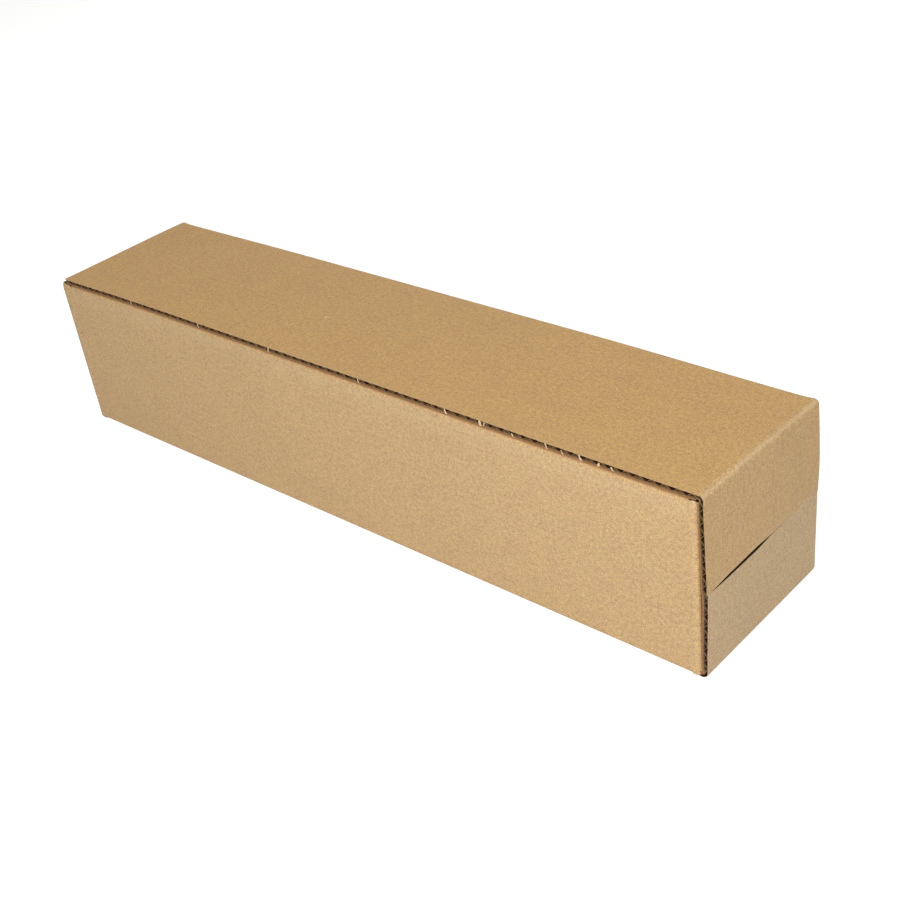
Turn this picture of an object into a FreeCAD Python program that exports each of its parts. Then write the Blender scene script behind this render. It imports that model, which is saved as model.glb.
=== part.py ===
import FreeCAD, Part
import os

# Long shipping box: a square tube of single-wall corrugated board, closed at
# each end by two inner flaps and two outer flaps.
# X runs along the box, the glued side is at -Y, Z points up.
# The origin is the middle of the base. All sizes are in millimetres.

doc = FreeCAD.newDocument("LongShippingBox")
sheet = doc.addObject("Spreadsheet::Sheet", "Sizes")

driving = [
    ("insideLength", 400.0, "clear length between the inner end flaps"),
    ("insideWidth", 81.0, "clear width between the side panels"),
    ("insideHeight", 81.0, "clear height from the bottom panel to the glue tab"),
    ("board", 2.8, "thickness of the board"),
    ("liner", 0.3, "thickness of each liner"),
    ("medium", 0.25, "thickness of the fluted medium"),
    ("flutePitch", 6.0, "distance from one flute to the next"),
    ("crestWidth", 0.9, "width of the glued crest of a flute"),
    ("flapFoldInside", 1.2, "inner radius of the folds along the flutes, at the outer flaps"),
    ("tubeFoldInside", 0.4, "inner radius of the three long folds of the tube"),
    ("tightFoldInside", 0.4, "inner radius of the folds of the inner flaps and the glue tab"),
    ("foldKerf", 0.3, "gap on the outside between the two halves of an outer flap's fold"),
    ("creaseMargin", 1.0, "length of crushed flute beside a crease"),
    ("tabWidth", 30.0, "reach of the glue tab from the front face"),
    ("tabBevel", 8.0, "length lost at each end of the glue tab's free edge"),
    ("glueLine", 0.2, "thickness of glue between tab and top panel"),
    ("stackGap", 0.3, "clearance between inner and outer flaps"),
    ("slitGap", 1.0, "clearance between the meeting edges of the outer flaps"),
    ("slitDrop", 1.3, "how far the slit lies below mid-height"),
    ("slotSetback", 0.6, "how far a slotted flap edge lies inside the tube's side face"),
    ("innerFlapSetback", 6.5, "from the top or bottom face to an inner flap's edge"),
    ("innerFlapGap", 8.0, "gap between the free edges of the two inner flaps of an end"),
    ("overrun", 0.5, "how far a cutting tool runs past a cut edge"),
]
for row, (alias, value, note) in enumerate(driving, start=1):
    sheet.set(f"A{row}", alias)
    sheet.set(f"B{row}", str(value))
    sheet.setAlias(f"B{row}", alias)
    sheet.set(f"C{row}", note)
doc.recompute()

# Expressions worked out from the driving sizes.
board = "Sizes.board"
pitch = "Sizes.flutePitch"
flapFold = "(Sizes.flapFoldInside + Sizes.board)"
tubeFold = "(Sizes.tubeFoldInside + Sizes.board)"
tightFold = "(Sizes.tightFoldInside + Sizes.board)"
halfWidth = "(Sizes.insideWidth / 2 + Sizes.board)"
fullHeight = "(Sizes.insideHeight + 3 * Sizes.board + Sizes.glueLine)"
innerFlapFace = "(Sizes.insideLength / 2 + Sizes.board)"
halfLength = f"({innerFlapFace} + Sizes.stackGap + {board})"
lidHalf = f"({halfLength} - {flapFold})"
sideHalf = f"({innerFlapFace} - {tightFold})"
tabTop = f"({fullHeight} - {board} - Sizes.glueLine)"
foldSweep = f"(45 - Sizes.foldKerf / (2 * {flapFold}) * 180 / pi)"
slottedHalf = f"({halfWidth} - Sizes.slotSetback)"
innerFlapRise = f"({fullHeight} - 2 * Sizes.innerFlapSetback)"

forward, sideways, upward = FreeCAD.Vector(1, 0, 0), FreeCAD.Vector(0, 1, 0), FreeCAD.Vector(0, 0, 1)


def place(item, base, first, second):
    # The item's own X and Y axes are laid along first and second.
    turn = FreeCAD.Rotation(first, second, first.cross(second), "XYZ")
    item.Placement = FreeCAD.Placement(FreeCAD.Vector(), turn)
    for axis, expression in zip("xyz", base):
        item.setExpression(f"Placement.Base.{axis}", expression)


def addSlab(name, corner, lengths):
    slab = doc.addObject("Part::Box", name)
    for side, expression in zip(("Length", "Width", "Height"), lengths):
        slab.setExpression(side, expression)
    place(slab, corner, forward, sideways)
    return slab


def addBend(name, inside, sweep, run, base, first, second):
    # A bent strip of board: it turns from first towards second about the fold's centre line.
    parts = []
    for label, radius, angle in (("Outside", f"{inside} + {board}", sweep), ("Inside", inside, "360")):
        drum = doc.addObject("Part::Cylinder", name + label)
        drum.setExpression("Radius", radius)
        drum.setExpression("Height", run)
        drum.setExpression("Angle", angle)
        place(drum, base, first, second)
        parts.append(drum)
    bend = doc.addObject("Part::Cut", name)
    bend.Base, bend.Tool = parts
    return bend


def addBlank(name, pieces):
    blank = doc.addObject("Part::MultiFuse", name)
    blank.Shapes = pieces
    blank.Refine = True
    return blank


def startBody(name, blank):
    body = doc.addObject("PartDesign::Body", name)
    body.Label = name
    body.BaseFeature = blank
    return body


def axisOf(body, role):
    return next(item for item in body.Origin.OriginFeatures if item.Role == role)


def cutFlutes(body, name, room, base, length, first, outward, role):
    # The air between medium and liners: one space under each liner for every pitch.
    # base is the middle of the room on the board's inner face, and length runs along the flute.
    count = f"floor(({room} - {pitch} / 2 + Sizes.crestWidth) / {pitch})"
    air = f"({board} - 2 * Sizes.liner - Sizes.medium)"
    shift = f"(({count} - 1) / 2 * {pitch})"
    wide = f"(({pitch} - Sizes.crestWidth) / 2)"
    narrow = "(Sizes.crestWidth / 2)"
    spaces = []
    for label, middle, low, lowHalf, highHalf in (
        ("Outer", f"(-{shift} - {pitch} / 4)", "(Sizes.liner + Sizes.medium)", narrow, wide),
        ("Inner", f"(-{shift} + {pitch} / 4)", "Sizes.liner", wide, narrow),
    ):
        space = body.newObject("PartDesign::SubtractiveWedge", name + label)
        for prop, expression in (
            ("Xmin", f"{middle} - {lowHalf}"),
            ("Xmax", f"{middle} + {lowHalf}"),
            ("X2min", f"{middle} - {highHalf}"),
            ("X2max", f"{middle} + {highHalf}"),
            ("Ymin", low),
            ("Ymax", f"{low} + {air}"),
            ("Zmin", "0"),
            ("Z2min", "0"),
            ("Zmax", length),
            ("Z2max", length),
        ):
            space.setExpression(prop, expression)
        place(space, base, first, outward)
        spaces.append(space)
    row = body.newObject("PartDesign::LinearPattern", name + "Row")
    row.Originals = spaces
    row.Direction = (axisOf(body, role), [""])
    row.Reversed = False
    row.setExpression("Length", f"({count} - 1) * {pitch}")
    row.setExpression("Occurrences", count)
    body.Tip = row


def makeSleeve():
    # Four panels round the contents, folded from one sheet.
    lidRun = f"2 * {lidHalf}"
    sideRun = f"2 * {sideHalf}"
    lidWidth = f"2 * {halfWidth} - {tubeFold}"
    baseWidth = f"2 * {halfWidth} - 2 * {tubeFold}"
    pieces = [
        addSlab("topPanel", (f"-{lidHalf}", f"-{halfWidth}", f"{fullHeight} - {board}"),
                (lidRun, lidWidth, board)),
        addSlab("bottomPanel", (f"-{lidHalf}", f"-{halfWidth} + {tubeFold}", "0"),
                (lidRun, baseWidth, board)),
        addSlab("backPanel", (f"-{sideHalf}", f"{halfWidth} - {board}", tubeFold),
                (sideRun, board, f"{fullHeight} - 2 * {tubeFold}")),
        addSlab("frontPanel", (f"-{sideHalf}", f"-{halfWidth}", tubeFold),
                (sideRun, board, f"{tabTop} - {tightFold} - {tubeFold}")),
    ]

    # The long folds of the tube, and the fold that carries the glue tab.
    backAxis = f"{halfWidth} - {tubeFold}"
    frontAxis = f"-{halfWidth} + {tubeFold}"
    topAxis = f"{fullHeight} - {tubeFold}"
    for name, y, z, first, second in (
        ("topBackFold", backAxis, topAxis, sideways, upward),
        ("bottomBackFold", backAxis, tubeFold, -upward, sideways),
        ("bottomFrontFold", frontAxis, tubeFold, -sideways, -upward),
    ):
        pieces.append(addBend(name, "Sizes.tubeFoldInside", "90", lidRun,
                              (f"-{lidHalf}", y, z), first, second))
    pieces.append(addBend("tabFold", "Sizes.tightFoldInside", "90", sideRun,
                          (f"-{sideHalf}", f"-{halfWidth} + {tightFold}", f"{tabTop} - {tightFold}"),
                          upward, -sideways))

    # The glue tab lies under the top panel, its ends cut back, with its glue line on top.
    tab = doc.addObject("Part::Wedge", "glueTab")
    for prop, expression in (
        ("Xmin", f"-{sideHalf}"),
        ("Xmax", sideHalf),
        ("X2min", f"-{sideHalf} + Sizes.tabBevel"),
        ("X2max", f"{sideHalf} - Sizes.tabBevel"),
        ("Ymin", tightFold),
        ("Ymax", "Sizes.tabWidth"),
        ("Zmin", "0"),
        ("Z2min", "0"),
        ("Zmax", f"{board} + Sizes.glueLine"),
        ("Z2max", f"{board} + Sizes.glueLine"),
    ):
        tab.setExpression(prop, expression)
    place(tab, ("0", f"-{halfWidth}", f"{tabTop} - {board}"), forward, sideways)
    pieces.append(tab)

    # The tube's half of each outer flap's fold, and the inner flaps.
    flapInside = "Sizes.flapFoldInside"
    for end, sign, out in (("right", "", forward), ("left", "-", -forward)):
        for level, z, front, normal in (
            ("Upper", f"{fullHeight} - {flapFold}", halfWidth, upward),
            ("Lower", flapFold, slottedHalf, -upward),
        ):
            run = f"{front} + {slottedHalf}"
            y = f"-{front}" if normal.cross(out).y > 0 else slottedHalf
            pieces.append(addBend(f"{end}{level}Fold", flapInside, foldSweep, run,
                                  (f"{sign}{lidHalf}", y, z), normal, out))
        reach = f"{halfWidth} - {tightFold} - Sizes.innerFlapGap / 2"
        inner = f"{innerFlapFace} - {board}" if end == "right" else f"-{innerFlapFace}"
        for side, y, start, normal in (
            ("Front", f"-{halfWidth} + {tightFold}", f"-{halfWidth} + {tightFold}", -sideways),
            ("Back", f"{halfWidth} - {tightFold}", "Sizes.innerFlapGap / 2", sideways),
        ):
            first, second = (normal, out) if normal.cross(out).z > 0 else (out, normal)
            pieces.append(addBend(f"{end}{side}Fold", "Sizes.tightFoldInside", "90", innerFlapRise,
                                  (f"{sign}{sideHalf}", y, "Sizes.innerFlapSetback"), first, second))
            pieces.append(addSlab(f"{end}{side}Flap", (inner, start, "Sizes.innerFlapSetback"),
                                  (board, reach, innerFlapRise)))

    body = startBody("box_sleeve", addBlank("sleeveBlank", pieces))

    # Flutes open at the cut edges: at the ends of each inner flap,
    # along the glue tab's free edge and along the top panel's front edge.
    middle = f"(({halfWidth} - {tightFold} + Sizes.innerFlapGap / 2) / 2)"
    for end, face, out in (("right", f"{innerFlapFace} - {board}", forward),
                           ("left", f"-({innerFlapFace} - {board})", -forward)):
        for side, sign in (("Front", "-"), ("Back", "")):
            z = f"{fullHeight} - Sizes.innerFlapSetback + Sizes.overrun"
            first = sideways
            if first.cross(out).z > 0:
                z = "Sizes.innerFlapSetback - Sizes.overrun"
            cutFlutes(body, f"{end}{side}Flutes", f"{halfWidth} - {tightFold} - Sizes.innerFlapGap / 2",
                      (face, f"{sign}{middle}", z), f"{innerFlapRise} + 2 * Sizes.overrun",
                      first, out, "Y_Axis")
    cutFlutes(body, "tabFlutes", f"{sideRun} - 2 * Sizes.tabBevel",
              ("0", f"-{halfWidth} + Sizes.tabWidth + Sizes.overrun", f"{tabTop} - {board}"),
              f"Sizes.tabWidth - {tightFold} - Sizes.creaseMargin + Sizes.overrun",
              forward, upward, "X_Axis")
    cutFlutes(body, "topFlutes", lidRun,
              ("0", f"{backAxis} - Sizes.creaseMargin", f"{fullHeight} - {board}"),
              f"{lidWidth} - Sizes.creaseMargin + Sizes.overrun", forward, upward, "X_Axis")
    return body


def makeOuterFlap(name, out, normal):
    # Built about the centre line of its fold, hanging down at +X, then turned into its place.
    upper = normal.z > 0
    half = f"{fullHeight} / 2 - {flapFold} - Sizes.slitGap / 2"
    reach = f"({half} + Sizes.slitDrop)" if upper else f"({half} - Sizes.slitDrop)"
    front = halfWidth if upper else slottedHalf
    across = normal.cross(out)
    low, high = (front, slottedHalf) if across.y > 0 else (slottedHalf, front)
    run = f"{low} + {high}"
    inside = "Sizes.flapFoldInside"
    flat = addSlab(name + "Flat", (inside, f"-{low}", f"-{reach}"), (board, run, reach))
    bend = addBend(name + "Bend", inside, foldSweep, run, ("0", high, "0"), forward, upward)
    body = startBody(name, addBlank(name + "Blank", [flat, bend]))
    cutFlutes(body, name + "Flutes", reach, (inside, f"-{low} - Sizes.overrun", f"-{reach} / 2"),
              f"{run} + 2 * Sizes.overrun", upward, forward, "Z_Axis")
    body.Placement = FreeCAD.Placement(FreeCAD.Vector(), FreeCAD.Rotation(out, across, normal, "XYZ"))
    body.setExpression("Placement.Base.x", lidHalf if out.x > 0 else f"-{lidHalf}")
    body.setExpression("Placement.Base.z", f"{fullHeight} - {flapFold}" if upper else flapFold)
    return body


bodies = [makeSleeve()]
for endName, outward in (("right", forward), ("left", -forward)):
    for levelName, faceNormal in (("upper", upward), ("lower", -upward)):
        bodies.append(makeOuterFlap(f"{endName}_{levelName}_flap", outward, faceNormal))
doc.recompute()

for item in doc.Objects:
    if "Invalid" in item.State or "Error" in item.State:
        raise RuntimeError(f"{item.Name} did not compute: {item.State}")
for body in bodies:
    if body.Shape.isNull() or not body.Shape.isValid():
        raise RuntimeError(f"{body.Label} has no valid shape")

os.makedirs("parts", exist_ok=True)
for body in bodies:
    body.Shape.exportStep(f"parts/{body.Label}.step")
    box = body.Shape.BoundBox
    print(body.Label, len(body.Shape.Solids), round(body.Shape.Volume, 1),
          [round(v, 2) for v in (box.XMin, box.XMax, box.YMin, box.YMax, box.ZMin, box.ZMax)])
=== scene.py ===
# Long shipping box: kraft corrugated board in three plies, folded into a tube and closed by flaps.
import math
import numpy as np
import bpy
from mathutils import Matrix, Vector


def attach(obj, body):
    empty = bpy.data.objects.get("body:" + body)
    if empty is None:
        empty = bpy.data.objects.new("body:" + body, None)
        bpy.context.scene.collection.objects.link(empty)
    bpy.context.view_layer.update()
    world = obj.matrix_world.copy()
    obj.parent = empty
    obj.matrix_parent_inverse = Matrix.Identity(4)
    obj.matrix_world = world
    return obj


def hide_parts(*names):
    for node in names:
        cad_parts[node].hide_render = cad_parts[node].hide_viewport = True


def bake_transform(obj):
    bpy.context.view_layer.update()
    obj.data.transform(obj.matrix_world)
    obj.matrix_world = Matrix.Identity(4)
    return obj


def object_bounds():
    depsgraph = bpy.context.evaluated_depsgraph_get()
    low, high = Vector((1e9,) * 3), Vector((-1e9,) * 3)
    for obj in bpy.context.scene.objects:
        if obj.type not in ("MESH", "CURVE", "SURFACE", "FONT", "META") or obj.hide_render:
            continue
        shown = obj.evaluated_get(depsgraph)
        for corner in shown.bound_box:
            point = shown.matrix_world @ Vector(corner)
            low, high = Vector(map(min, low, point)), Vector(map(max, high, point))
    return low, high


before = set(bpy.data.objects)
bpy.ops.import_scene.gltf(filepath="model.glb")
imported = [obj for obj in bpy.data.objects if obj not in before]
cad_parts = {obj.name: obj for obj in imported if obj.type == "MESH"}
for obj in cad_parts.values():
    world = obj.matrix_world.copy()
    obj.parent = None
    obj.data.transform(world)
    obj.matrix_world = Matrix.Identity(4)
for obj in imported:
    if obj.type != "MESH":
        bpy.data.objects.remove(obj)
cadLow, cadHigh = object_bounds()

# Lengths are in millimetres and angles in degrees, except where a note says metres.
board = {
    "thickness": 2.8,
    "liner": 0.3,
    "medium": 0.24,
    "flutePitch": 6.0,
    "samplesPerFlute": 18,
    # How unevenly the flutes lie: slow waves with their height in radians, rate per millimetre and start.
    "fluteDrift": ((0.30, 0.11, 0.0), (0.12, 0.47, 1.3)),
    "raggedness": 0.05,     # how rough the knife has left the cut edges
    "raggedReach": 1.2,     # how far in from a long cut edge the roughness goes
    "tubeSquare": 2.7,      # how square the tube's own folds are, 2 being round
    "foldCrush": 0.38,      # part of the thickness lost at the crown of a fold
    "edgeCrush": 0.30,      # how far the inner liner is pressed up at a cut edge
    "edgeCrushReach": 3.0,
    "cutShade": 0.60,       # painted shade: how dark the cut paper is painted, between the face and the flutes
    "cutReach": 0.6,        # and how deep in it is painted as dark as the shade in the flutes
    "floorShade": 0.30,     # the same painted shade for the floor of the flutes, the inner liner's face
    "floorDark": (0.5, 1.5),    # where that painted shade begins, and over what length
    "mediumPaintedShade": 0.8,    # how strongly the medium's cut rim is painted with reddish-brown shade
    "innerPaintedShadeReach": 0.8,    # how far in from the cut edge the inner liner is painted with reddish-brown shade
    "creaseAngle": 38,      # edges sharper than this stay hard
}

# How close the rows of points lie.
spacing = {
    "alongBox": 399,        # rows from end to end
    "roundTube": 9.0,       # the widest step on the tube's panels
    "flap": 3.0,            # and on a flap
    "bend": 8,              # steps in a bend
    "flapBend": 12,         # and in an outer flap's
    "lead": 1.2,            # a straight leg's even steps begin this far from its ends
    "flapLead": 0.8,
    "closeRow": 0.4,        # with one more row at this share of the lead
    "topStops": 2.0,        # the top panel's flutes end this far before the back fold, or a little more
    "hair": 1e-3,           # so that a row on a leg's end counts as within it
    "medium": (0.0, 0.25, 0.7, 1.4, 2.4, 6.0, 30.0),   # rows of the medium, from its cut edge inwards
}

carton = {
    "halfLength": cadHigh.x * 1000,
    "halfWidth": cadHigh.y * 1000,
    "height": cadHigh.z * 1000,
    "flapFold": 4.0,        # outer radius of the folds of the outer flaps
    "tubeFold": 3.2,        # outer radius of the long folds of the tube
    "tightFold": 3.2,       # outer radius of the folds of the inner flaps and the glue tab
    "sheetEnd": 199.0,      # where the tube's panels hand over to the flaps
    "glueLine": 0.2,
    "stackGap": 0.3,
    "tabReach": 30.0,
    "tabBevel": 8.0,
}

midDepth = board["thickness"] / 2
foldStart = carton["halfLength"] - carton["flapFold"]
innerFace = carton["halfLength"] - board["thickness"] - carton["stackGap"]
innerStart = innerFace - carton["tightFold"]
tabTop = carton["height"] - board["thickness"] - carton["glueLine"]


def smooth(t):
    t = np.clip(t, 0.0, 1.0)
    return t * t * (3.0 - 2.0 * t)


def grows(value, start, over):
    # Smoothly from 0 at the start to 1 after this length, which is negative where it grows downwards.
    return smooth((value - start) / over)


def bell(value, middle, spread):
    return np.exp(-((value - middle) / spread) ** 2)


def ragged(line, seed):
    # A knife-cut edge: three sine waves of unrelated lengths added up.
    return board["raggedness"] * (np.sin(1.7 * line + seed) + 0.8 * np.sin(4.3 * line + 2.1 * seed)
                                  + 0.6 * np.sin(9.1 * line + 3.7 * seed))


def bendLength(radius, angle=90):
    return (radius - midDepth) * math.radians(angle)


def walkPath(path, distance, depth, sharp=board["tubeSquare"]):
    # Follows the board's outer face along straight legs and rounded bends.
    # On a straight leg a point is the leg's start plus distance along it, less depth along the normal.
    # In a bend it swings about the bend's centre by distance over the mid-board radius. The bend's outer line
    # is a superellipse, (|sin|^sharp + |cos|^sharp)^(-1/sharp), and the crushed board is thinner at its crown.
    distance, depth = np.broadcast_arrays(distance, depth)
    point, along, normal = (np.array(path[key], float) for key in ("start", "along", "normal"))
    found = np.zeros(distance.shape + (2,))
    begin = 0.0
    for number, (length, radius) in enumerate(path["legs"]):
        past = distance - begin
        here = past >= 0 if number else np.full(distance.shape, True)
        if radius:
            turn = past / (radius - midDepth)
            centre = point - normal * radius
            spoke = normal * np.cos(turn)[..., None] + along * np.sin(turn)[..., None]
            inBend = np.clip(turn, 0, math.pi / 2)
            peak = (np.sin(inBend) ** sharp + np.cos(inBend) ** sharp) ** (-1 / sharp)
            thinned = depth * (1 - board["foldCrush"] * np.sin(2 * inBend) ** 2)
            reached = centre + spoke * (radius * peak - thinned)[..., None]
            full = length / (radius - midDepth)
            normal, along = (normal * math.cos(full) + along * math.sin(full),
                             along * math.cos(full) - normal * math.sin(full))
            point = centre + normal * radius
        else:
            reached = point + along * past[..., None] - normal * depth[..., None]
            point = point + along * length
        found = np.where(here[..., None], reached, found)
        begin += length
    return found


def stations(legs, step, perBend=spacing["bend"], lead=spacing["lead"]):
    # Distances along a path: even steps on straight legs with a close row near each end,
    # and equal turns in the bends.
    rows, begin = [], 0.0
    for length, radius in legs:
        if radius:
            rows.append(begin + np.linspace(0, length, perBend + 1)[:-1])
        elif length < 3 * lead:
            rows.append(begin + np.linspace(0, length, 4)[:-1])
        else:
            inner = max(2, int(round((length - 2 * lead) / step)) + 1)
            rows.append(begin + np.array([0.0, lead * spacing["closeRow"]]))
            rows.append(begin + np.linspace(lead, length - lead, inner))
        begin += length
    return np.unique(np.round(np.concatenate(rows + [[begin]]), 5))


def onGrid(value, u, v):
    return (value(u, v) if callable(value) else value) + 0 * u


def closedSheet(place, uLine, vLine, nearDepth, farDepth, nearCore=1.0, farCore=1.0, wearAndHighlight=0.0, shade=0.0):
    # Two faces over one grid of u and v, at two depths in the board, and a rim that joins their edges.
    u, v = np.meshgrid(uLine, vLine, indexing="ij")
    near = place(u, v, onGrid(nearDepth, u, v)).reshape(-1, 3)
    far = place(u, v, onGrid(farDepth, u, v)).reshape(-1, 3)
    index = np.arange(u.size).reshape(u.shape)
    face = np.stack([index[:-1, :-1], index[1:, :-1], index[1:, 1:], index[:-1, 1:]], -1).reshape(-1, 4)
    ring = np.concatenate([index[:-1, 0], index[-1, :-1], index[:0:-1, -1], index[0, :0:-1]])
    after = np.roll(ring, -1)
    rim = np.stack([after, ring, ring + u.size, after + u.size], -1)
    quads = np.concatenate([face, face[:, ::-1] + u.size, rim])
    points = np.concatenate([near, far])
    a, b, c, d = (points[quads[:, k]] for k in range(4))
    volume = np.sum(np.cross(c - a, d - b) * (a + b + c + d))
    if volume < 0:
        quads = quads[:, ::-1]
    cores = [onGrid(core, u, v) for core in (nearCore, farCore)]
    return {
        "points": points,
        "quads": quads,
        "sheet": np.tile(np.stack([u.ravel(), v.ravel()], -1), (2, 1)),
        "core": np.concatenate([core.ravel() for core in cores]),
        "wearAndHighlight": np.concatenate([(onGrid(wearAndHighlight, u, v) * (1 - core)).ravel() for core in cores]),
        "shade": np.concatenate([(onGrid(shade, u, v) * (1 - core)).ravel() for core in cores]),
    }


def plies(place, coarse, fine, vLine, toSheet, fromEdge, wearAndHighlight=0.0, shade=0.0, mediumRows=None):
    # Corrugated board: outer liner, medium as a sine wave across the flutes, inner liner.
    # Paper inside the flutes is painted with shade: it goes from its cut colour to the painted dark of the
    # flutes within two millimetres.
    def hidden(u, v):
        return board["cutShade"] + (1 - board["cutShade"]) * grows(fromEdge(u, v), 0, board["cutReach"])

    def floorOfFlutes(u, v):
        return board["floorShade"] + (1 - board["floorShade"]) * grows(fromEdge(u, v), *board["floorDark"])

    # Painted shade: the inner liner's cut edge is painted reddish brown, as a shadowed crevice looks.
    def innerPaintedShade(u, v):
        return 1 - grows(fromEdge(u, v), 0, board["innerPaintedShadeReach"])

    thick, liner, medium = board["thickness"], board["liner"], board["medium"]
    room = thick - 2 * liner
    swing = (room - medium) / 2
    wave = 2 * math.pi / board["flutePitch"]

    def pressed(u, v):
        # The knife presses the inner liner and the flutes up towards the outer liner near a cut edge.
        return board["edgeCrush"] * (1 - grows(fromEdge(u, v), 0, board["edgeCrushReach"]))

    def flute(u, v, side):
        flat = u + toSheet
        drift = sum(most * np.sin(rate * flat + start) for most, rate, start in board["fluteDrift"])
        phase = wave * flat + drift
        half = medium / 2 * np.sqrt(1 + (swing * wave * np.sin(phase)) ** 2)
        depth = midDepth + swing * np.cos(phase) + side * half
        return liner + (depth - liner) * (1 - pressed(u, v) / room)

    return [
        closedSheet(place, coarse, vLine, 0.0, liner, 0.0, hidden, wearAndHighlight, shade),
        closedSheet(place, fine, vLine if mediumRows is None else mediumRows,
                    lambda u, v: flute(u, v, -1), lambda u, v: flute(u, v, 1),
                    hidden, hidden, 0.0, board["mediumPaintedShade"]),
        closedSheet(place, coarse, vLine, lambda u, v: thick - liner - pressed(u, v), thick,
                    floorOfFlutes, 0.0, 0.0, innerPaintedShade),
    ]


settling = {
    "from": 58.0,           # only what stands higher than this moves
    "fullUnderTop": 6.0,    # and it moves by all of the drop this far under the top
    "drop": 0.3,
    # Further drops: how much, then where each starts to grow and over what length, along the box and across.
    "left": (0.6, (-110, -95)),
    "leftFront": (0.5, (-150, -55), (30, -70)),
    "rightBack": (1.2, (90, 115), (-15, 55)),
}


def settle(points):
    # The carton is not quite square: its top is lower at three corners.
    x, y, z = points.T
    drop = settling["drop"]
    for corner in ("left", "leftFront", "rightBack"):
        most, *growths = settling[corner]
        drop = drop + most * math.prod(grows(line, *growth) for line, growth in zip((x, y), growths))
    high = grows(z, settling["from"], carton["height"] - settling["fullUnderTop"] - settling["from"])
    return np.stack([x, y, z - high * drop], -1)


def makePiece(name, shells, material, toSheet=lambda flat: flat, paintedSheen=0.0):
    # Shells are put one after another into one mesh, with the unfolded sheet as its UV map, in metres.
    # The painted sheen is how much paler and greyer the paper is painted, standing in for the white floor's
    # reflection: a share of 0 to 1 or a rule of the point.
    counts = np.cumsum([0] + [len(shell["points"]) for shell in shells])
    points = np.concatenate([shell["points"] for shell in shells])
    quads = np.concatenate([shell["quads"] + start for shell, start in zip(shells, counts)])
    sheet = toSheet(np.concatenate([shell["sheet"] for shell in shells])) * 0.001
    mesh = bpy.data.meshes.new(name)
    mesh.from_pydata(settle(points) * 0.001, [], quads)
    loops = np.empty(len(mesh.loops), dtype=np.int32)
    mesh.loops.foreach_get("vertex_index", loops)
    mesh.uv_layers.new(name="sheet").data.foreach_set("uv", sheet[loops].astype(np.float32).ravel())
    for key in ("core", "wearAndHighlight", "shade"):
        values = np.concatenate([shell[key] for shell in shells]).astype(np.float32)
        mesh.attributes.new(key, "FLOAT", "POINT").data.foreach_set("value", values)
    sheenGrey = (paintedSheen(*points.T) if callable(paintedSheen) else paintedSheen) + np.zeros(len(points))
    mesh.attributes.new("paintedSheen", "FLOAT", "POINT").data.foreach_set("value", sheenGrey.astype(np.float32))
    mesh.polygons.foreach_set("use_smooth", np.full(len(mesh.polygons), True))
    mesh.set_sharp_from_angle(angle=math.radians(board["creaseAngle"]))
    mesh.materials.append(material)
    mesh.update()
    piece = bpy.data.objects.new(name, mesh)
    bpy.context.collection.objects.link(piece)
    return piece


class Wire:
    # A socket of a node tree, so that shader sums are written as ordinary sums.
    def __init__(self, tree, socket=None):
        self.tree, self.socket = tree, socket

    def node(self, kind, settings=None, inputs=None, output=0):
        made = self.tree.nodes.new(kind)
        for key, value in (settings or {}).items():
            setattr(made, key, value)
        for key, value in (inputs or {}).items():
            if isinstance(value, Wire):
                self.tree.links.new(value.socket, made.inputs[key])
            else:
                made.inputs[key].default_value = value
        return Wire(self.tree, made.outputs[output] if made.outputs else None)

    def maths(self, operation, *values):
        return self.node("ShaderNodeMath", {"operation": operation}, dict(enumerate(values)))

    def __add__(self, other):
        return self.maths("ADD", self, other)

    __radd__ = __add__

    def __mul__(self, other):
        return self.maths("MULTIPLY", self, other)

    __rmul__ = __mul__

    def __sub__(self, other):
        return self.maths("SUBTRACT", self, other)

    def __rsub__(self, other):
        return self.maths("SUBTRACT", other, self)

    def held(self, low=0.0, high=1.0):
        return self.node("ShaderNodeClamp", None, {"Value": self, "Min": low, "Max": high})

    def ramped(self, low, high):
        return self.node("ShaderNodeMapRange", {"interpolation_type": "SMOOTHSTEP"},
                         {"Value": self, "From Min": low, "From Max": high})

    def noise(self, place, scale, detail=2.0, roughness=0.5, distortion=0.0):
        return self.node("ShaderNodeTexNoise", None,
                         {"Vector": place, "Scale": scale, "Detail": detail,
                          "Roughness": roughness, "Distortion": distortion})

    def mark(self, place, centre, size, turn):
        # A soft-edged oblong: the distances across and along its middle, each faded out about its half size.
        local = self.node("ShaderNodeMapping", {"vector_type": "TEXTURE"}, {
            "Vector": place, "Location": (*centre, 0.0), "Rotation": (0.0, 0.0, math.radians(turn))})
        inside = []
        for axis, half, (whole, gone) in zip("XY", size, kraft["markFade"]):
            away = self.node("ShaderNodeSeparateXYZ", None, {0: local}, output=axis)
            inside.append(1 - away.maths("ABSOLUTE", away).ramped(whole * half, gone * half))
        return inside[0] * inside[1]

    def blend(self, factor, first, second, mode="MIX"):
        mixed = self.tree.nodes.new("ShaderNodeMix")
        mixed.data_type, mixed.blend_type = "RGBA", mode
        for number, value in ((0, factor), (6, first), (7, second)):
            if isinstance(value, Wire):
                self.tree.links.new(value.socket, mixed.inputs[number])
            else:
                mixed.inputs[number].default_value = value
        return Wire(self.tree, mixed.outputs[2])


def newMaterial(name):
    material = bpy.data.materials.new(name)
    material.use_nodes = True
    material.node_tree.nodes.clear()
    return material, Wire(material.node_tree)


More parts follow.
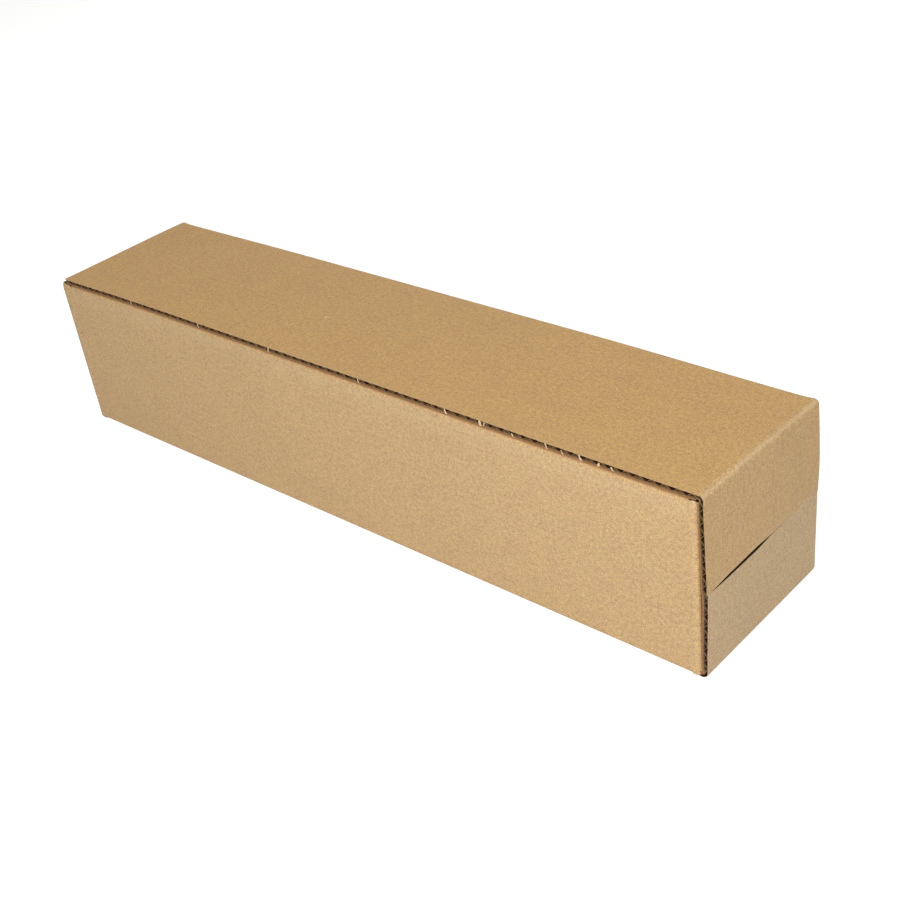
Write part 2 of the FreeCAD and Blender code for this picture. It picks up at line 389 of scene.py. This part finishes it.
kraft = {
    "outside": (0.543, 0.323, 0.118, 1.0),
    "yellowish": (0.540, 0.352, 0.102, 1.0),
    "pinkish": (0.550, 0.300, 0.136, 1.0),
    # Painted sheen: the pale grey, and how much of it each face is painted with, where the white floor would
    # reflect in it.
    "sheenGrey": (0.56, 0.73, 0.74, 1.0),
    "paintedSheen": {"front": 0.08, "upper": 0.06, "lower": 0.14},
    # The pale of rubbed paper, also used for the painted highlights on folds and on the front's crest.
    "wornAndHighlight": (0.70, 0.53, 0.33, 1.0),
    # Painted shade inside the board, where the flutes lie in shadow; the core attribute mixes it in.
    "flutes": (0.030, 0.010, 0.005, 1.0),
    "paintedShadeBrown": (0.24, 0.095, 0.036, 1.0),   # painted shade: the reddish brown of a shadowed crevice at a cut edge or fold, warmed by light bounced off the kraft
    "darkFleck": (0.26, 0.15, 0.06, 1.0),
    "paleFleck": (0.74, 0.58, 0.36, 1.0),
    "torn": (0.76, 0.64, 0.48, 1.0),
    # Marks on the unfolded sheet: middle, half sizes across and along, both in metres, turn in degrees
    # and, but for the crease, strength.
    "crease": ((-0.068, 0.036), (0.0004, 0.034), 0.0),
    "creaseDark": 0.20,
    "darkMarks": [((-0.0682, 0.0048), (0.0006, 0.0006), 0.0, 0.7)],
    "paleMarks": [((-0.0334, 0.0368), (0.0006, 0.0006), 0.0, 0.8),
                  ((0.2341, 0.0173), (0.0050, 0.0003), 0.0, 0.15)],
    "markFade": ((0.4, 1.3), (0.7, 1.2)),    # shares of the half sizes where a mark is whole and where it ends
    # Noise: waves per metre, detail and roughness.
    "clouds": (22.0, 3.0, 0.55),
    "drift": (95.0, 2.0, 0.5),
    "grain": (520.0, 3.0, 0.65),
    "fine": (1900.0, 2.0, 0.6),
    "tints": (800.0, 2.0, 0.6),
    "specks": (900.0, 0.0, 0.5),
    # How strongly each noise lightens and darkens the paper.
    "cloudValue": 0.10,
    "driftValue": 0.12,
    "grainValue": 0.80,
    "fineValue": 1.7,
    # How strongly drift and tints swing the hue, and the share of that hue in the colour.
    "driftHue": 1.0,
    "tintHue": 4.6,
    "hueShare": 0.45,
    "fibreLayers": ((12, 0.3), (68, 1.1), (121, 2.7)),   # turn and offset
    "fibreStretch": (420.0, 4200.0, 1.0),
    "fibreNoise": (1.0, 1.0, 0.5, 0.6),
    "fibreLimits": (0.66, 0.78),
    "fibrePale": 0.10,
    "speckLimits": (0.775, 0.80),
    "speckDark": 0.40,
    "wearAndHighlightEven": 0.85,       # the pale of wear and painted highlight before grain and drift break it up
    "wornAndHighlightShare": 0.45,
    "paintedShadeShare": 0.85,
    "bump": {"grain": 0.35, "fine": 0.25, "fibres": 0.20, "crease": 1.2},
    "bumpStrength": 0.35,
    "bumpDepth": 0.0001,    # metres
    "roughness": 0.62,
    "grainRough": 0.12,
    "fluteRough": 0.10,
    "specular": 0.30,
}


def makeKraft():
    # Brown kraft paper: clouded pulp, short crossing fibres, flecks, pale folds that are partly worn and partly
    # a painted highlight, with painted sheen, and painted shade in the flutes and crevices.
    material, paint = newMaterial("kraftBoard")
    flat = paint.node("ShaderNodeUVMap", {"uv_map": "sheet"})
    core, wearAndHighlight, shade, paintedSheen = (paint.node("ShaderNodeAttribute", {"attribute_name": key}, output="Fac")
                                for key in ("core", "wearAndHighlight", "shade", "paintedSheen"))
    clouds, drift, grain, fine, tints = (
        paint.noise(flat, *kraft[key]) - 0.5 for key in ("clouds", "drift", "grain", "fine", "tints"))
    fibres = None
    for angle, offset in kraft["fibreLayers"]:
        turned = paint.node("ShaderNodeMapping", None, {
            "Vector": flat, "Location": (offset, offset * 0.7, 0.0),
            "Rotation": (0.0, 0.0, math.radians(angle)), "Scale": kraft["fibreStretch"]})
        strand = paint.noise(turned, *kraft["fibreNoise"]).ramped(*kraft["fibreLimits"])
        fibres = strand if fibres is None else fibres + strand

    hue = (0.5 + kraft["driftHue"] * drift + kraft["tintHue"] * tints).held()
    colour = paint.blend(hue, kraft["pinkish"], kraft["yellowish"])
    colour = paint.blend(kraft["hueShare"], kraft["outside"], colour)
    # Painted sheen: the paper is mixed towards pale grey by the sheen attribute.
    colour = paint.blend(paintedSheen, colour, kraft["sheenGrey"])
    value = (1.0 + kraft["cloudValue"] * clouds + kraft["driftValue"] * drift
             + kraft["grainValue"] * grain + kraft["fineValue"] * fine)
    grey = paint.node("ShaderNodeCombineColor", None, {"Red": value, "Green": value, "Blue": value})
    colour = paint.blend(1.0, colour, grey, "MULTIPLY")
    colour = paint.blend((kraft["fibrePale"] * fibres).held(), colour, kraft["paleFleck"])
    specks = paint.noise(flat, *kraft["specks"]).ramped(*kraft["speckLimits"])
    colour = paint.blend(kraft["speckDark"] * specks, colour, kraft["darkFleck"])
    crease = paint.mark(flat, *kraft["crease"])
    colour = paint.blend(kraft["creaseDark"] * crease, colour, kraft["darkFleck"])
    for centre, size, turn, strength in kraft["darkMarks"]:
        colour = paint.blend(strength * paint.mark(flat, centre, size, turn), colour, kraft["darkFleck"])
    for centre, size, turn, strength in kraft["paleMarks"]:
        colour = paint.blend(strength * paint.mark(flat, centre, size, turn), colour, kraft["torn"])
    # Pale bands: rubbed wear on folds and cut edges, partly a painted highlight, and a painted highlight on the
    # front's top crest.
    wornAndLit = (wearAndHighlight * (kraft["wearAndHighlightEven"] + grain + drift)).held()
    colour = paint.blend(kraft["wornAndHighlightShare"] * wornAndLit, colour, kraft["wornAndHighlight"])
    # Painted shade: where the shade attribute is set, the paper is painted the reddish brown of a shadowed
    # crevice.
    colour = paint.blend(kraft["paintedShadeShare"] * shade, colour, kraft["paintedShadeBrown"])
    # Painted shade: paper inside the board is darkened towards the shade of the flutes by the core attribute.
    colour = paint.blend(core, colour, kraft["flutes"])

    rise = kraft["bump"]
    height = rise["grain"] * grain + rise["fine"] * fine + rise["fibres"] * fibres - rise["crease"] * crease
    bump = paint.node("ShaderNodeBump", None, {
        "Strength": kraft["bumpStrength"], "Distance": kraft["bumpDepth"], "Height": height})
    rough = kraft["roughness"] + kraft["grainRough"] * grain + kraft["fluteRough"] * core
    shader = paint.node("ShaderNodeBsdfPrincipled", None,
                        {"Base Color": colour, "Roughness": rough.held(), "Normal": bump,
                         "Specular IOR Level": kraft["specular"]})
    paint.node("ShaderNodeOutputMaterial", None, {"Surface": shader})
    return material


torn = {
    "fuzz": (2600.0, 3.0, 0.7),     # waves per metre, detail and roughness
    "fuzzLimits": (0.3, 0.7),
    "bumpStrength": 0.5,
    "roughness": 0.9,
}


def makeTornPaper():
    # The pale, fibrous inside of torn paper.
    material, paint = newMaterial("tornPaper")
    flat = paint.node("ShaderNodeUVMap", {"uv_map": "sheet"})
    fuzz = paint.noise(flat, *torn["fuzz"])
    colour = paint.blend(fuzz.ramped(*torn["fuzzLimits"]), kraft["outside"], kraft["torn"])
    bump = paint.node("ShaderNodeBump", None, {
        "Strength": torn["bumpStrength"], "Distance": kraft["bumpDepth"], "Height": fuzz})
    shader = paint.node("ShaderNodeBsdfPrincipled", None,
                        {"Base Color": colour, "Roughness": torn["roughness"], "Normal": bump})
    paint.node("ShaderNodeOutputMaterial", None, {"Surface": shader})
    return material


kraftBoard = makeKraft()
tornPaper = makeTornPaper()
print("stage: kraft paper ready")

halfWidth, height = carton["halfWidth"], carton["height"]
tube, tight, flapFold = carton["tubeFold"], carton["tightFold"], carton["flapFold"]
# The tube's section, from the top panel's cut edge round to the glue tab's free edge.
tubeLegs = [
    (2 * halfWidth - tube, 0), (bendLength(tube), tube),                 # top panel, top back fold
    (height - 2 * tube, 0), (bendLength(tube), tube),                    # back panel, bottom back fold
    (2 * halfWidth - 2 * tube, 0), (bendLength(tube), tube),             # bottom panel, bottom front fold
    (tabTop - tight - tube, 0), (bendLength(tight), tight),              # front panel, tab fold
    (carton["tabReach"] - tight, 0),                                     # glue tab
]
legStarts = np.cumsum([0.0] + [length for length, radius in tubeLegs])
tubePath = {"start": (-halfWidth, height), "along": (1, 0), "normal": (0, 1), "legs": tubeLegs}
topEnd, tabFoldStart, tabStart, tabEnd = legStarts[1], legStarts[7], legStarts[8], legStarts[9]
foldMiddles = [(legStarts[k] + legStarts[k + 1]) / 2 for k in (1, 3, 5)]

tubeLook = {
    # Strength and half width of the pale bands: along a fold, worn and partly a painted highlight; at the cut
    # edge; and along the front's crest, a painted highlight.
    "foldWearAndHighlight": (0.7, 0.6),
    "cutWear": (0.3, 0.5),
    "crestHighlight": (0.45, 0.8),
    "crestBelow": 0.7,      # how far the crest's painted highlight lies under the tab's fold
    "linerDark": 1.7,       # how deep under the cut edge the outer liner's back is painted as dark as the shade in the flutes
    "tabPaintedShade": (0.9, 0.9, 2.0),   # where the tab's fold is painted with reddish-brown shade under the top panel's edge, over what length, and its fading
    "sheenIn": 2.2,         # the front's painted sheen ends this far behind the front
    "sheenUnder": (2.6, 2.0),   # and begins this far under the top, over this height
}


def placeTube(u, v, depth):
    # u runs along the box and v round it, from the top panel's cut edge to the glue tab's free edge.
    narrowing = carton["tabBevel"] / carton["sheetEnd"] * np.clip((v - tabStart) / (tabEnd - tabStart), 0, 1)
    nearEdge = np.clip(1 - v / board["raggedReach"], 0, 1)
    section = walkPath(tubePath, v - nearEdge * ragged(u, 1.0 + depth), depth)
    return np.concatenate([(u * (1 - narrowing))[..., None], section], -1)


def tubeWearAndHighlight(u, v):
    # Folds are pale in a narrow band along their crown, partly rubbed wear and partly a painted highlight; the
    # front's top crest gets a painted highlight.
    (folded, foldSpread), (cut, cutSpread), (crest, crestSpread) = (
        tubeLook[key] for key in ("foldWearAndHighlight", "cutWear", "crestHighlight"))
    bands = folded * sum(bell(v, middle, foldSpread) for middle in foldMiddles)
    edge = cut * bell(v, 0, cutSpread)
    return np.clip(bands + edge + crest * bell(v, tabFoldStart - tubeLook["crestBelow"], crestSpread), 0, 1)


# Painted shade on the outer liner's back, inside the flutes.
def linerBack(u, v):
    return board["cutShade"] + (1 - board["cutShade"]) * grows(v, 0, tubeLook["linerDark"])


# Painted shade: the reddish brown of the shadowed crevice under the top panel's cut edge.
def tabPaintedShade(u, v):
    begin, over, fading = tubeLook["tabPaintedShade"]
    return grows(v, tabFoldStart + begin, over) * (1 - grows(v, tabStart, fading))


# Painted sheen on the front panel, fading out just under the top.
def frontPaintedSheen(x, y, z):
    under, over = tubeLook["sheenUnder"]
    onFront = grows(y, tubeLook["sheenIn"] - halfWidth, -tubeLook["sheenIn"])
    return kraft["paintedSheen"]["front"] * onFront * grows(z, height - under, -over)


end = carton["sheetEnd"]
thick, liner = board["thickness"], board["liner"]
flutesFine = np.linspace(-end, end, int(2 * end / board["flutePitch"] * board["samplesPerFlute"]))
alongBox = np.linspace(-end, end, spacing["alongBox"])
tubeRows = stations(tubeLegs, spacing["roundTube"])
topRows = tubeRows[tubeRows <= topEnd - spacing["topStops"]]
coreRows = tubeRows[(tubeRows >= topRows[-1]) & (tubeRows <= tabStart + spacing["hair"])]
tabRows = tubeRows[tubeRows >= tabStart - spacing["hair"]]

openRows = np.array(spacing["medium"])     # the tab is too short for the last two
topPlies = plies(placeTube, alongBox, flutesFine, topRows, 0.0, lambda u, v: v,
                 mediumRows=np.append(openRows, topRows[-1]))
tabPlies = plies(placeTube, alongBox, flutesFine, tabRows, 0.0, lambda u, v: tabEnd - v,
                 mediumRows=np.append(tabStart, tabEnd - openRows[-3::-1]))
outerLiner = closedSheet(placeTube, alongBox, tubeRows, 0.0, liner, 0.0, linerBack, tubeWearAndHighlight, tabPaintedShade)
# Board whose flutes can't be seen into is solid under its liner, its face under the liner painted with the
# flutes' shade.
solidCore = closedSheet(placeTube, alongBox, coreRows, liner, thick, 1.0, 0.0)

sleevePieces = [
    makePiece("sleeve_outer_liner", [outerLiner], kraftBoard, paintedSheen=frontPaintedSheen),
    makePiece("sleeve_flutes", [topPlies[1], tabPlies[1]], kraftBoard),
    makePiece("sleeve_inner_liner", [topPlies[2], solidCore, tabPlies[2]], kraftBoard),
]
print("stage: tube made")

innerFlap = {
    "tip": 4.0,             # from the middle of the box to the flap's free edge
    "foldSetback": 3.6,     # from the top or bottom face to the flap's edge at its fold
    "tipSetback": 6.5,      # and further on
    "taper": 7.0,
    "heelSetback": 0.9,     # at the foot of the fold the edge starts this close to the bottom face
    "heel": (1.8, 2.4),     # where it leaves it, and over what length
    "foldWearAndHighlight": (0.15, 0.9, 0.5),       # strength, distance before the fold's middle and half width
    "foldPaintedShade": (0.1, 0.8),   # where the fold is painted with reddish-brown shade after its middle, over what length
    "paintedShadeFades": (5, 6),
    # The front left fold stands out past its place by this much, and a little forward.
    "leftPush": 4.2,
    "leftForward": 0.4,
    "leftLean": 0.35,       # share by which it stands out more at the top, and less at the bottom
    "leftGrows": (0, 2.5),
    "leftFades": (6, 22.0),
    "leftRise": 1.9,        # it covers part of the top panel's edge
    "leftRiseFades": (4, 3),
    "leftRounding": 3.0,    # its upper corner is rounded off inwards by this much
    "leftRoundingDrop": 5.0,    # over this height
}


def makeInnerFlap(endSign, sideSign):
    legs = [(innerStart - end, 0), (bendLength(tight), tight), (halfWidth - tight - innerFlap["tip"], 0)]
    path = {"start": (end, -halfWidth), "along": (1, 0), "normal": (0, -1), "legs": legs}

    def place(u, v, depth):
        # u runs from the panel round the fold to the flap's tip; v is a share of the flap's height.
        widening = innerFlap["tipSetback"] - innerFlap["foldSetback"]
        setback = innerFlap["foldSetback"] + grows(u, 0, innerFlap["taper"]) * widening
        lowest = innerFlap["heelSetback"]
        heel = lowest + grows(u, *innerFlap["heel"]) * (setback - lowest)
        plan = walkPath(path, u, depth)
        pushed = grows(u, *innerFlap["leftGrows"]) * (endSign < 0 and sideSign < 0)
        out = pushed * (1 - grows(u, *innerFlap["leftFades"])) * (1 + innerFlap["leftLean"] * v)
        rise = pushed * (1 - grows(u, *innerFlap["leftRiseFades"])) * innerFlap["leftRise"]
        z = height / 2 + v * (height / 2 - np.where(v < 0, heel, setback - rise))
        underCorner = height - innerFlap["foldSetback"] + innerFlap["leftRise"] - z
        corner = np.clip(1 - underCorner / innerFlap["leftRoundingDrop"], 0, 1)
        away = innerFlap["leftPush"] * out - innerFlap["leftRounding"] * corner ** 2 * smooth(out)
        return np.stack([(plan[..., 0] + away) * endSign,
                         (plan[..., 1] - innerFlap["leftForward"] * out) * -sideSign, z], -1)

    def toSheet(flat):
        z = height / 2 * (1 + flat[:, 1])
        roundTube = legStarts[6] + z - tube if sideSign < 0 else legStarts[2] + height - tube - z
        return np.stack([endSign * (end + flat[:, 0]), roundTube], -1)

    def wearAndHighlight(u, v):
        strength, before, spread = innerFlap["foldWearAndHighlight"]
        return strength * bell(u, middle - before, spread)

    def paintedFoldShade(u, v):
        # Painted shade: only the right end's folds are painted the reddish brown of the shaded crevice by the
        # outer flap's edge.
        after, over = innerFlap["foldPaintedShade"]
        return grows(u, middle + after, over) * (1 - grows(u, *innerFlap["paintedShadeFades"])) * (endSign > 0)

    rows = np.concatenate([[-1.0, -0.994, -0.98, -0.96], np.linspace(-0.9, 0.9, 13), [0.96, 0.98, 0.994, 1.0]])
    length = sum(leg[0] for leg in legs)
    coarse = stations(legs, spacing["flap"])
    fine = np.linspace(0, length, int(length / board["flutePitch"] * board["samplesPerFlute"]))
    middle = legs[0][0] + legs[1][0] / 2
    shells = plies(place, coarse, fine, rows, end, lambda u, v: (1 - np.abs(v)) * height / 2, wearAndHighlight, paintedFoldShade)
    name = f"{'right' if endSign > 0 else 'left'}_{'front' if sideSign < 0 else 'back'}_inner_flap"
    return makePiece(name, shells, kraftBoard, toSheet, frontPaintedSheen)


for endSign in (1, -1):
    for sideSign in (-1, 1):
        sleevePieces.append(makeInnerFlap(endSign, sideSign))

# Paper left hanging at the top panel's cut edge.
# Each nick: place along the box, width, lean, how far it stands out, depth of its top and its height.
nicks = [(-143, 0.6, 0.2, 0.08, 0.3, 2.0), (-88, 0.8, 0.5, 0.14, 0.2, 2.4), (-35.5, 0.9, -0.3, 0.16, 0.2, 2.5),
         (25, 0.8, 0.6, 0.14, 0.2, 2.4), (77.5, 1.1, 0.9, 0.20, 0.2, 2.6), (97, 1.5, 0.4, 0.32, 0.1, 2.7),
         (99.2, 0.6, -0.7, 0.24, 0.5, 2.0), (114.5, 0.7, 0.7, 0.15, 1.2, 1.5), (132, 1.0, 0.8, 0.22, 0.3, 2.4),
         (140, 0.7, 0.9, 0.16, 1.0, 1.8), (149, 1.2, 1.0, 0.24, 0.4, 2.4), (158, 1.2, -0.4, 0.26, 0.8, 1.9),
         (164.5, 0.8, 1.1, 0.20, 0.9, 1.8), (201.6, 1.5, 0.3, 0.14, 3.3, 1.7)]

sliver = {
    "thickness": 0.14,
    "lift": 0.02,           # clear of the cut edge
    "flatSides": 0.6,       # share of the bulge that is lost at its sides
    "evenWidth": 0.75,
    "sideWaves": ((0.25, 5.1, 1), (0.15, 13.0, 2)),     # share of the width, rate and step from nick to nick
}


def makeNicks():
    # Slivers of torn liner bridging the flutes: a grid across and down each one, bulging out.
    shells = []
    for number, nick in enumerate(nicks):
        def place(u, v, depth, nick=nick, number=number):
            x, width, lean, proud, top, drop = nick
            waves = sum(most * np.sin(rate * v + step * number) for most, rate, step in sliver["sideWaves"])
            along = x + u * width / 2 * (sliver["evenWidth"] + waves) + lean * (v - 0.5)
            bulge = proud * np.sin(math.pi * np.clip(v, 0, 1)) * (1 - sliver["flatSides"] * u ** 2)
            return np.stack([along, depth - halfWidth - bulge - sliver["lift"], height - top - drop * v], -1)
        shells.append(closedSheet(place, np.linspace(-1, 1, 7), np.linspace(0, 1, 11),
                                  0.0, sliver["thickness"], 0.0, 0.0))
        shells[-1]["sheet"] = shells[-1]["points"][:, [0, 2]]
    return makePiece("edge_nicks", shells, tornPaper)


sleevePieces.append(makeNicks())
for piece in sleevePieces:
    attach(piece, "sleeve")
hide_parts("box_sleeve")
print("stage: inner flaps made")

outerFlap = {
    "slotSetback": 0.6,     # from the side face to a slotted edge
    "slitDrop": 1.3,        # the slit lies this far below mid-height
    # The slit's width at shares of the box's width, from the front.
    "slitShares": (0.0, 0.04, 0.10, 0.20, 0.36, 0.46, 0.53, 0.58, 0.68, 0.78, 1.0),
    "slitWidths": (0.06, 0.20, 1.00, 1.60, 2.00, 1.95, 0.90, 0.50, 0.35, 0.15, 0.06),
    "leftSetback": 3.6,     # the left flaps are cut back at the front
    "leftSetbackGrows": (1.8, 6.2),     # where that begins on the upper one's fold, and over what length
    # How square the fold is at the front and at the back, for each end and level.
    "foldSharp": {
        (1, True): (3.2, 3.8), (1, False): (2.2, 2.4),
        (-1, True): (2.3, 3.6), (-1, False): (2.2, 2.4),
    },
    # How far the free edge stands out at the front and at the back, and how far the back bows out.
    "springs": {
        (1, True): (0.7, 0.5, 0.6), (1, False): (0.8, 0.3, 0.0),
        (-1, True): (0.0, 0.3, 0.3), (-1, False): (0.0, 0.2, 0.0),
    },
    "foldWearAndHighlight": (1.0, 0.42),    # strength and half width of the pale band on the fold, worn and partly a painted highlight
    "edgeWear": (0.35, 0.8),    # and at the slit
    "slitRagged": 0.5,
    "slitReach": 8.0,       # how far from the slit the flap's length gives way to the slit's shape
    "sheenFrom": (3, 3),    # where the flap's painted sheen begins past the tube, and over what length
}


def slitHalf(y):
    # Half the gap between the meeting flaps: almost closed at both sides.
    share = (y + halfWidth) / (2 * halfWidth)
    return np.interp(share, outerFlap["slitShares"], outerFlap["slitWidths"]) / 2


def makeOuterFlap(endSign, upper):
    levelSign = 1 if upper else -1
    faceZ = height if upper else 0.0
    slit = height / 2 - outerFlap["slitDrop"]
    reach = (height - slit if upper else slit) - flapFold
    legs = [(foldStart - end, 0), (bendLength(flapFold), flapFold), (reach, 0)]
    path = {"start": (end, faceZ), "along": (1, 0), "normal": (0, levelSign), "legs": legs}
    length = sum(leg[0] for leg in legs)
    bendEnd = legs[0][0] + legs[1][0]
    back = halfWidth - outerFlap["slotSetback"]
    front = halfWidth if upper else back

    def place(u, v, depth):
        # u runs from the panel round the fold to the slit, v across the box.
        # Next to a long fold of the tube the sheet starts on that fold's curve and flattens over its own fold.
        cutBack = 0.0 if endSign > 0 else outerFlap["leftSetback"] - outerFlap["slotSetback"]
        cutBack = cutBack * (grows(u, *outerFlap["leftSetbackGrows"]) if upper else 1.0)
        y = -front + cutBack + v * (front + back - cutBack)
        y = y + np.where(v < 0.5, -1, 1) * ragged(u, 2.0 + depth) * ((v <= 0) | (v >= 1))
        overBack = np.clip(y - (halfWidth - tube), 0, tube)
        overFront = np.clip(-y - (halfWidth - tube), 0, tube) * (0 if upper else 1)
        square = board["tubeSquare"]
        drop = sum(tube - (tube ** square - over ** square) ** (1 / square) for over in (overBack, overFront))
        drop = drop * (1 - smooth(u / bendEnd))
        slitEdge = slitHalf(y) + outerFlap["slitRagged"] * ragged(y, 3.0 + depth)
        shortening = slitEdge * grows(u, length - outerFlap["slitReach"], outerFlap["slitReach"])
        across = grows(y, -halfWidth, 2 * halfWidth)
        nearSharp, farSharp = outerFlap["foldSharp"][endSign, upper]
        sharp = nearSharp + (farSharp - nearSharp) * across
        plan = walkPath(path, u - shortening, depth, sharp)
        nearSpring, farSpring, bow = outerFlap["springs"][endSign, upper]
        share = np.clip((u - bendEnd) / (length - bendEnd), 0, 1)
        spring = (nearSpring + (farSpring - nearSpring) * across) * smooth(share)
        spring = spring + bow * across * np.sin(math.pi * share)
        return np.stack([(plan[..., 0] + spring) * endSign, y, plan[..., 1] - levelSign * drop], -1)

    def toSheet(flat):
        y = -front + flat[:, 1] * (front + back)
        roundTube = y + halfWidth if upper else legStarts[4] + halfWidth - tube - y
        return np.stack([endSign * (end + flat[:, 0]), roundTube], -1)

    def fromEdge(u, v):
        return np.minimum((0.5 - np.abs(v - 0.5)) * (front + back), length - u)

    def wearAndHighlight(u, v):
        (folded, foldSpread), (cut, cutSpread) = outerFlap["foldWearAndHighlight"], outerFlap["edgeWear"]
        return np.clip(folded * bell(u, middle, foldSpread) + cut * bell(u, length, cutSpread), 0, 1)

    # Painted sheen on the end flaps, stronger on the lower one.
    def paintedSheen(x, y, z):
        begin, over = outerFlap["sheenFrom"]
        return kraft["paintedSheen"]["upper" if upper else "lower"] * grows(np.abs(x), end + begin, over)

    rows = np.concatenate([[0.0, 0.004, 0.010, 0.018, 0.035], np.linspace(0.06, 0.94, 15),
                           [0.955, 0.968, 0.978, 0.986, 0.994, 1.0]])
    coarse = stations(legs, spacing["flap"], spacing["flapBend"], spacing["flapLead"])
    fine = np.linspace(0, length, int(length / board["flutePitch"] * board["samplesPerFlute"]))
    middle = legs[0][0] + legs[1][0] / 2
    shells = plies(place, coarse, fine, rows, end, fromEdge, wearAndHighlight)
    name = f"{'right' if endSign > 0 else 'left'}_{'upper' if upper else 'lower'}_flap"
    piece = makePiece(name + "_board", shells, kraftBoard, toSheet, paintedSheen)
    # The fold's hinge: its centre and the two ends of its bend, where it would meet the tube and the flap, are
    # worked out here, but nothing uses them.
    inside = flapFold - board["thickness"]
    centre = Vector((endSign * foldStart, 0, faceZ - levelSign * flapFold))
    step = Vector((endSign, 0, -levelSign)) * inside / 2
    (centre - step) * 0.001
    (centre + step) * 0.001
    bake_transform(piece)
    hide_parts(name)
    return piece


for endSign in (1, -1):
    for upper in (True, False):
        makeOuterFlap(endSign, upper)
print("stage: outer flaps made")

studio = {
    "floorColour": (0.65, 0.65, 0.65, 1.0),
    "floorLift": 0.69,      # its own light, for the camera and for reflections alone
    "floorHalf": 40,        # metres
    "floorDrop": 0.0003,    # metres under the box
    "worldStrength": 0.315,
    "worldColour": (1.0, 0.975, 0.93, 1.0),
    "keyColour": (0.97, 1.0, 1.06),
    "keyPower": 11.6,       # watts
    "keyPlace": (0.60, -0.75, 0.70),   # metres
    "keySize": 0.5,
    "fillPower": 2.6,
    "fillPlace": (-0.45, 0.92, 0.60),
    "fillSize": 1.2,
    "lampAim": (0, 0, 0.04),
}


def seenDirectly(paint):
    # 1 for rays from the camera and those that a shiny or clear surface sends on, 0 for the light on the box.
    seen, mirrored, through = (paint.node("ShaderNodeLightPath", output=ray)
                               for ray in ("Is Camera Ray", "Is Glossy Ray", "Is Transmission Ray"))
    return (seen + mirrored + through).held()


def makeFloor():
    material, paint = newMaterial("paleFloor")
    matt = paint.node("ShaderNodeBsdfDiffuse", None, {"Color": studio["floorColour"]})
    lift = paint.node("ShaderNodeEmission", None, {"Strength": seenDirectly(paint) * studio["floorLift"]})
    both = paint.node("ShaderNodeAddShader", None, {0: matt, 1: lift})
    paint.node("ShaderNodeOutputMaterial", None, {"Surface": both})
    mesh = bpy.data.meshes.new("floor")
    half = studio["floorHalf"]
    corners = [(-half, -half, 0), (half, -half, 0), (half, half, 0), (-half, half, 0)]
    mesh.from_pydata(corners, [], [(0, 1, 2, 3)])
    mesh.materials.append(material)
    floor = bpy.data.objects.new("floor", mesh)
    bpy.context.collection.objects.link(floor)
    floor.location.z = cadLow.z - studio["floorDrop"]


def makeWorld():
    world = bpy.data.worlds.new("studio")
    world.use_nodes = True
    tree = world.node_tree
    tree.nodes.clear()
    paint = Wire(tree)
    white = seenDirectly(paint)
    strength = studio["worldStrength"] + (1 - studio["worldStrength"]) * white
    tint = paint.blend(white, studio["worldColour"], (1.0, 1.0, 1.0, 1.0))
    glow = paint.node("ShaderNodeBackground", None, {"Color": tint, "Strength": strength})
    paint.node("ShaderNodeOutputWorld", None, {"Surface": glow})
    bpy.context.scene.world = world


def makeLamp(name, place, size, power, colour=(1, 1, 1)):
    lamp = bpy.data.lights.new(name, "AREA")
    lamp.size, lamp.energy, lamp.color = size, power, colour
    lampObject = bpy.data.objects.new(name, lamp)
    bpy.context.collection.objects.link(lampObject)
    lampObject.location = place
    aim = Vector(studio["lampAim"]) - Vector(place)
    lampObject.rotation_euler = aim.to_track_quat("-Z", "Y").to_euler()


cameraView = {
    "azimuth": 45.362,
    "elevation": 31.353,
    "roll": -7.613,
    "distance": 0.68707,    # metres, as the next three
    "aside": 0.026331,
    "up": -0.019400,
    "aimHeight": 0.0428,
    "lens": 55.544,
    "sensor": 36.0,
    "clip": (0.01, 100.0),
}


def makeCamera():
    # The camera stands back from the aim point along the view line, shifted sideways and up in its own frame.
    a, e, r = (math.radians(cameraView[key]) for key in ("azimuth", "elevation", "roll"))
    back = Vector((math.sin(a) * math.cos(e), -math.cos(a) * math.cos(e), math.sin(e)))
    level = Vector((0, 0, 1)).cross(back).normalized()
    upright = back.cross(level)
    right = level * math.cos(r) + upright * math.sin(r)
    up = upright * math.cos(r) - level * math.sin(r)
    place = (Vector((0, 0, cameraView["aimHeight"])) + back * cameraView["distance"]
             + right * cameraView["aside"] + up * cameraView["up"])
    camera = bpy.data.cameras.new("camera")
    camera.lens, camera.sensor_width = cameraView["lens"], cameraView["sensor"]
    camera.clip_start, camera.clip_end = cameraView["clip"]
    cameraObject = bpy.data.objects.new("camera", camera)
    bpy.context.collection.objects.link(cameraObject)
    turned = Matrix((right, up, back)).transposed().to_4x4()
    cameraObject.matrix_world = Matrix.Translation(place) @ turned
    bpy.context.scene.camera = cameraObject


makeFloor()
makeWorld()
makeLamp("key", studio["keyPlace"], studio["keySize"], studio["keyPower"], studio["keyColour"])
makeLamp("fill", studio["fillPlace"], studio["fillSize"], studio["fillPower"])
makeCamera()
bpy.context.scene.view_settings.view_transform = "Standard"
print("stage: studio ready")
